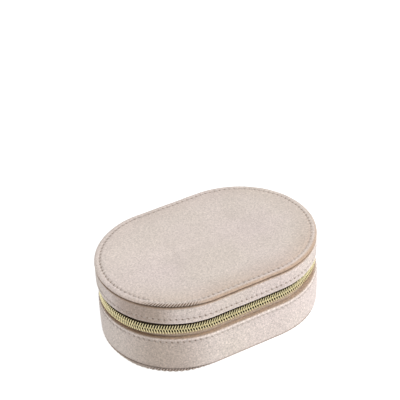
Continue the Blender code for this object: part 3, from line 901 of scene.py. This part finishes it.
def inflate(obj, voxel, pressure, cap, pinned):
    """Swells a closed mesh as a stuffed cover, each point moving by no more than cap."""
    frames = 20
    scene = bpy.context.scene
    remesh = obj.modifiers.new("remesh", "REMESH")
    remesh.mode = "VOXEL"
    remesh.voxel_size = voxel
    apply_modifiers(obj)
    before = np.array([v.co for v in obj.data.vertices])
    cloth = obj.modifiers.new("cloth", "CLOTH")
    settings = cloth.settings
    settings.use_pressure = True
    settings.uniform_pressure_force = pressure
    settings.effector_weights.gravity = 0
    settings.quality = 5
    settings.tension_stiffness = 20
    settings.compression_stiffness = 20
    settings.bending_stiffness = 0.5
    cloth.collision_settings.use_collision = False
    cloth.point_cache.frame_start = 1
    cloth.point_cache.frame_end = frames
    if pinned:
        group = obj.vertex_groups.new(name="pin")
        group.add([int(i) for i in np.nonzero(pinned(before))[0]], 1.0, "REPLACE")
        settings.vertex_group_mass = "pin"
    for frame_number in range(1, frames + 1):
        scene.frame_set(frame_number)
    apply_modifiers(obj)
    scene.frame_set(1)
    after = np.array([v.co for v in obj.data.vertices])
    moved = after - before
    length = np.linalg.norm(moved, axis=1, keepdims=True)
    after = before + moved * np.minimum(1.0, cap / np.maximum(length, 1e-9))
    obj.data.vertices.foreach_set("co", after.ravel())
    obj.data.update()


def stuffed(name, node, scale, voxel, pressure, cap, pinned=None):
    """A stuffed piece that starts from its solid, slightly smaller, and is then swelled."""
    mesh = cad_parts[node].data.copy()
    low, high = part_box(node)
    middle = (low + high) / 2
    mesh.transform(Matrix.Translation(middle) @ Matrix.Diagonal((*scale, 1.0)) @ Matrix.Translation(-middle))
    mesh.materials.clear()
    mesh.materials.append(lining_velvet)
    obj = add_object(name, mesh)
    inflate(obj, voxel, pressure, cap, pinned)
    subdivide = obj.modifiers.new("smooth", "SUBSURF")
    subdivide.levels = 1
    subdivide.render_levels = 1
    apply_modifiers(obj)
    obj.data.shade_smooth()
    return obj


def ring_rolls():
    """Foam rolls in velvet sleeves, pleated at both ends. Rings stand in the slits between them."""
    pleats, gathered = 14, 5 * MM
    for k in (1, 2, 3):
        node = f"ring_roll_{k}"
        low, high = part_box(node)
        middle = (low + high) / 2
        roll = stuffed(f"ring_roll_sleeve_{k}", node, (0.95, 0.985, 0.96), 1.3 * MM, 4.0, 0.35 * MM)
        for vertex in roll.data.vertices:
            at = vertex.co
            out = Vector((at.x - middle.x, 0, at.z - middle.z)).normalized()
            gather = math.exp(-((abs(at.y) - high.y) / gathered) ** 2)
            rib = noise.noise(Vector((at.x * 90, at.y * 240, at.z * 90 + k)))
            pleat = math.sin(math.atan2(out.x, out.z) * pleats + k)
            vertex.co = at + out * (0.10 * MM * rib + 0.14 * MM * gather * pleat)
            vertex.co.x = min(max(vertex.co.x, low.x - 0.1 * MM), high.x + 0.1 * MM)
            vertex.co.z = max(vertex.co.z, low.z)
        roll.data.shade_smooth()
        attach(roll, "base")
        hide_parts(node)


def floor_cushion():
    """The padded floor, held down by the dividers and the ring rolls, and free to rise between them."""
    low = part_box("floor_pad")[0]
    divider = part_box("divider_right")[0]

    def held(points):
        edge = np.abs(points[:, 0]) < divider.x + 3 * MM
        across = (points[:, 0] > 0) & (np.abs(points[:, 1]) < 1.6 * MM)
        return edge | across | (points[:, 2] < low.z + 0.4 * MM)

    pad = stuffed("floor_cushion", "floor_pad", (0.995, 0.992, 0.94), 1.6 * MM, 3.0, 0.9 * MM, held)
    pad.data.shade_smooth()
    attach(pad, "base")
    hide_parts("floor_pad")


# ---------------- the zip

def span_of(node):
    """A zip node's two ends, as distances round the case. It runs clockwise from the first to the second."""
    points = np.array([v.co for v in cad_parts[node].data.vertices])
    right = points[points[:, 0] > END_X]
    left = points[points[:, 0] < -END_X]
    right_turn = max(math.atan2(y, x - END_X) for x, y, _ in right)
    left_turn = min(math.atan2(y, x + END_X) % (2 * math.pi) for x, y, _ in left)
    end = QUARTER + 2 * END_X + (left_turn - math.pi / 2) * RADIUS
    return right_turn * RADIUS, end - OUTLINE


def chain_depth(dx, dy):
    """The chain's middle, in from the wall's face. It springs outwards round the ends, more at the right."""
    turn = facing_of(abs(dx), abs(dy))
    share = min(1.0, max(0.0, (turn - 30) / 32))  # 0 within 30 degrees of a tip, and 1 past 62
    share = share * share * (3 - 2 * share)
    spring = 1.15 if dx > 0 else 0.95
    return MM * (2.55 - spring * (1 - share))


def ribbon(name, section, start, end, steps, finish):
    """A strip swept clockwise from start to end. Section gives its outline there: (inset, height) points."""
    rings = []
    for i in range(steps + 1):
        share = i / steps
        centre, dx, dy = station_at(start + (end - start) * share)
        ring = []
        for inset, height in section(chain_depth(dx, dy), share):
            reach = RADIUS - inset
            ring.append((centre + reach * dx, reach * dy, height))
        rings.append(ring)
    verts = [point for ring in rings for point in ring]
    return mesh_object(name, verts, tube_faces(len(rings), len(rings[0]), flip=True), finish)


def thick_line(line, half):
    """An outline for ribbon, half as thick to each side of a line of (inset, height) points."""
    outer = [(inset - half, height) for inset, height in line]
    return outer + [(inset + half, height) for inset, height in reversed(line)]


def tube_mesh(name, centres, hints, radii, sides, finish):
    """A closed tube along a line of points. Hints are directions that the line never runs along."""
    tangents = np.gradient(centres, axis=0)
    tangents /= np.linalg.norm(tangents, axis=1, keepdims=True)
    first = np.cross(tangents, hints)
    first /= np.linalg.norm(first, axis=1, keepdims=True)
    second = np.cross(tangents, first)
    verts = []
    for j in range(sides):
        turn = 2 * math.pi * j / sides
        verts.append(centres + radii[:, None] * (math.cos(turn) * first + math.sin(turn) * second))
    verts = np.stack(verts, axis=1).reshape(-1, 3)
    return mesh_object(name, verts, tube_faces(len(centres), sides), finish)


def coil_row(name, side, body, node):
    """One row of the coil: a flattened helix whose heads reach past the chain's middle. Side is 1 or -1."""
    start, end = span_of(node)
    face_share = (RADIUS - chain_depth(0, 1)) / RADIUS
    length = start - end
    turns = int(length / (PITCH / face_share))
    per_turn, sides = 20, 8
    row_middle, row_half, half_thick = 1.2 * MM, 1.5 * MM, 0.48 * MM
    flat = 0.95  # how straight the legs run between the heads and the tape
    phase = 0.5 if side > 0 else 0.0
    centres, alongs, grows = [], [], []
    for i in range(turns * per_turn + 1):
        t = i / per_turn
        swing = math.cos(2 * math.pi * t)
        out = math.sin(2 * math.pi * t)
        run = t + (0.45 * out + 0.5 * (1 - swing)) / (2 * math.pi)  # each turn leans forward
        s = start - (run + phase + 0.1) / (turns + 0.9) * length
        leg = math.asin(flat * swing) / math.asin(flat)
        h = side * (row_middle + row_half * leg)
        depth = -half_thick * math.copysign(abs(out) ** 0.7, out) - 0.3 * MM * max(0.0, swing) ** 2
        centre, dx, dy = station_at(s)
        reach = RADIUS - chain_depth(dx, dy) - depth
        centres.append((centre + reach * dx, reach * dy, ZIP_MID + h))
        alongs.append((dy, -dx, 0.0))
        grows.append(1.0 + 0.25 * max(0.0, -swing) ** 4 + 0.15 * max(0.0, swing) ** 4)
    tube = tube_mesh(name, np.array(centres), np.array(alongs), WIRE * np.array(grows), sides, coil_gold)
    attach(tube, body)
    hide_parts(node)

    # The near-black cord inside the loops: painted shade in the gaps between the turns.
    def cord(coil, share):
        turned = [2 * math.pi * j / 10 for j in range(10)]
        middle = coil - 0.02 * MM
        height, half = UPPER_CORD if side > 0 else LOWER_CORD
        return [(middle + 0.28 * MM * math.cos(a), ZIP_MID + height + half * math.sin(a)) for a in turned]

    core = ribbon(f"{name}_cord", cord, start - 0.6 * MM, end + 0.6 * MM, 420, cord_painted_shade)
    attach(core, body)


def tape(name, side, body, node):
    """A woven tape: flat behind the coil, then back into the wall behind the turned edge of the velvet."""
    start, end = span_of(node)
    low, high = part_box(node)
    near_edge = high.z if side < 0 else low.z
    far_edge = low.z if side < 0 else high.z
    rim = BASE_RIM if side < 0 else LID_RIM

    def section(coil, share):
        behind = coil + 0.95 * MM
        line = [(TAPE_DEPTH, far_edge), (TAPE_DEPTH, rim + side * 2 * MM), (TAPE_DEPTH - 0.05 * MM, rim)]
        for k in range(1, 5):
            blend = (1 - math.cos(math.pi * k / 4)) / 2
            height = rim + (near_edge + side * 1.6 * MM - rim) * k / 4
            line.append((TAPE_DEPTH + (behind - TAPE_DEPTH) * blend, height))
        line.append((behind, near_edge))
        return thick_line(line, 0.2 * MM)

    piece = ribbon(name, section, start, end, 460, tape_weave)
    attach(piece, body)
    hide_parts(node)


def hinge_span():
    """The strip's ends, either side of the middle of the back."""
    points = np.array([v.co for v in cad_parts["hinge_strip"].data.vertices])
    turn = max(math.atan2(x - END_X, y) for x, y, _ in points)
    back = QUARTER + END_X
    reach = END_X + turn * RADIUS
    return back + reach, back - reach


def hinge_fold():
    """The velvet strip that hinges the lid: glued inside both walls, with a little slack between them."""
    start, end = hinge_span()
    low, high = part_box("hinge_strip")
    free_half = 5.3 * MM  # how far above and below the zip's middle the strip is free

    def section(coil, share):
        slack = 0.12 * MM * math.sin(share * 60)
        line = []
        for k in range(45):
            height = low.z + (high.z - low.z) * k / 44
            free = max(0.0, 1 - ((height - ZIP_MID) / free_half) ** 2)
            line.append((HINGE_DEPTH + free * (slack + 0.1 * MM), height))
        return thick_line(line, 0.25 * MM)

    strip = ribbon("hinge_fold", section, start, end, 60, hinge_velvet)
    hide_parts("hinge_strip")
    return strip


def finish_node(node, finish, bevel=None):
    """Gives a CAD part that is shown as it is its material, and softens its edges."""
    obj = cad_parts[node]
    obj.data.materials.clear()
    obj.data.materials.append(finish)
    if bevel:
        rounding = obj.modifiers.new("soft_edges", "BEVEL")
        rounding.width = bevel
        rounding.segments = 3
        rounding.limit_method = "ANGLE"
        rounding.angle_limit = math.radians(35)
        rounding.harden_normals = True


# ---------------- floor, light and camera

def studio():
    """A white floor that glows a little, so that the case's shadow on it stays faint, and two soft lights."""
    floor_finish, _, shader = new_material("floor")
    set_inputs(shader, {
        "Base Color": (0.35, 0.35, 0.35, 1.0),
        "Emission Color": (1.0, 1.0, 1.0, 1.0),
        "Emission Strength": 0.86,
        "Roughness": 1.0,
        "Specular IOR Level": 0.0,
    })
    bpy.ops.mesh.primitive_plane_add(size=60.0, location=(0.0, 0.0, -0.1 * MM))
    floor = bpy.context.object
    floor.name = "floor"
    floor.data.materials.append(floor_finish)
    world = bpy.data.worlds.new("studio")
    world.use_nodes = True
    set_inputs(world.node_tree.nodes["Background"], {"Color": (1.0, 1.0, 1.0, 1.0), "Strength": 0.42})
    bpy.context.scene.world = world
    area_light("key", power=4.0, azimuth=50.0, elevation=32.0, distance=0.9, size=0.6)
    area_light("top", power=3.6, azimuth=10.0, elevation=80.0, distance=0.9, size=0.8)
    view = bpy.context.scene.view_settings
    view.view_transform = "Standard"
    view.look = "None"


def direction(azimuth, elevation):
    """From the case towards a light or the camera. Azimuth turns from the front towards the right."""
    return Vector((
        math.sin(azimuth) * math.cos(elevation),
        -math.cos(azimuth) * math.cos(elevation),
        math.sin(elevation),
    ))


def area_light(name, power, azimuth, elevation, distance, size):
    data = bpy.data.lights.new(name, "AREA")
    data.energy = power
    data.shape = "DISK"
    data.size = size
    light = add_object(name, data)
    back = direction(math.radians(azimuth), math.radians(elevation))
    light.location = back * distance
    light.rotation_euler = back.to_track_quat("Z", "Y").to_euler()


def camera():
    """A long lens from the front left, well above the case, which sits low in the frame."""
    azimuth, elevation, roll = math.radians(-28.74), math.radians(37.94), math.radians(-2.723)
    pan, tilt = math.radians(0.342), math.radians(3.172)
    distance = 8.348 * WIDTH
    middle = Vector((0.0, 0.0, 0.2683 * WIDTH))
    back = direction(azimuth, elevation)
    facing = Matrix.Rotation(azimuth, 4, "Z") @ Matrix.Rotation(math.pi / 2 - elevation, 4, "X")
    facing = facing @ Matrix.Rotation(roll, 4, "Z")
    facing = facing @ Matrix.Rotation(pan, 4, "Y") @ Matrix.Rotation(tilt, 4, "X")
    data = bpy.data.cameras.new("camera")
    data.lens = 118.4
    data.sensor_width = 36.0
    data.clip_start = 0.01
    cam = add_object("camera", data)
    cam.matrix_world = Matrix.Translation(middle + back * distance) @ facing
    bpy.context.scene.camera = cam


# ---------------- the case, put together

camera()
studio()
lid_panel()
band(
    "lid_band", LID_RIM, LID_BAND_TOP, LID_ROW_Z, "lid", "lid_outer_cover", 0.1 * MM,
    (0.6 * MM, 1.0, 1.0, 1.0), (1.0 * MM, 0.0, 1.0, 0.4, 0.8), lid_band_shown, lid_band_painted_light,
)
band(
    "base_band", BASE_BOTTOM, BASE_RIM, BASE_ROW_Z, "base", "base_outer_cover", 0.15 * MM,
    (0.4 * MM, 0.0, 1.0, 0.2), (0.8 * MM, 0.9, 1.0, 0.0, 0.0), base_band_shown, base_band_painted_light, base_swell,
)
bottom_panel()
stitch_row("lid_panel_stitches", lid_seam, LID_SEAM_Z, math.radians(82), "lid", -0.12 * MM, lid_ribs)
stitch_row("lid_band_stitches", 0.0, LID_ROW_Z, 0.0, "lid", -0.08 * MM)
stitch_row("base_band_stitches", base_face, BASE_ROW_Z, 0.0, "base", -0.08 * MM)
stitch_row("bottom_stitches", bottom_face, BOTTOM_ROW_Z, 0.0, "base", -0.02 * MM)
linings()
for name, node in (("left", "divider_left"), ("right", "divider_right"), ("short", "divider_short")):
    covered_board(f"{name}_divider", node, "base")
ring_rolls()
floor_cushion()
tape("tape_upper", 1, "lid", "zip_tape_upper")
tape("tape_lower", -1, "base", "zip_tape_lower")
coil_row("coil_upper", 1, "lid", "zip_coil_upper")
coil_row("coil_lower", -1, "base", "zip_coil_lower")
strip = hinge_fold()
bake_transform(strip)

for node in ("slider_body", "pull_link", "pull_tab"):
    finish_node(node, metal_gold, bevel=0.14 * MM)
for node in ("zip_top_stop_upper", "zip_top_stop_lower", "zip_bottom_stop"):
    finish_node(node, metal_gold, bevel=0.2 * MM)
for node in ("bottom_board", "base_wall_board", "base_collar_board", "lid_top_board", "lid_wall_board"):
    finish_node(node, grey_board)
finish_node("lid_top_pad", pale_foam)
finish_node("lid_mirror", glass, bevel=0.2 * MM)
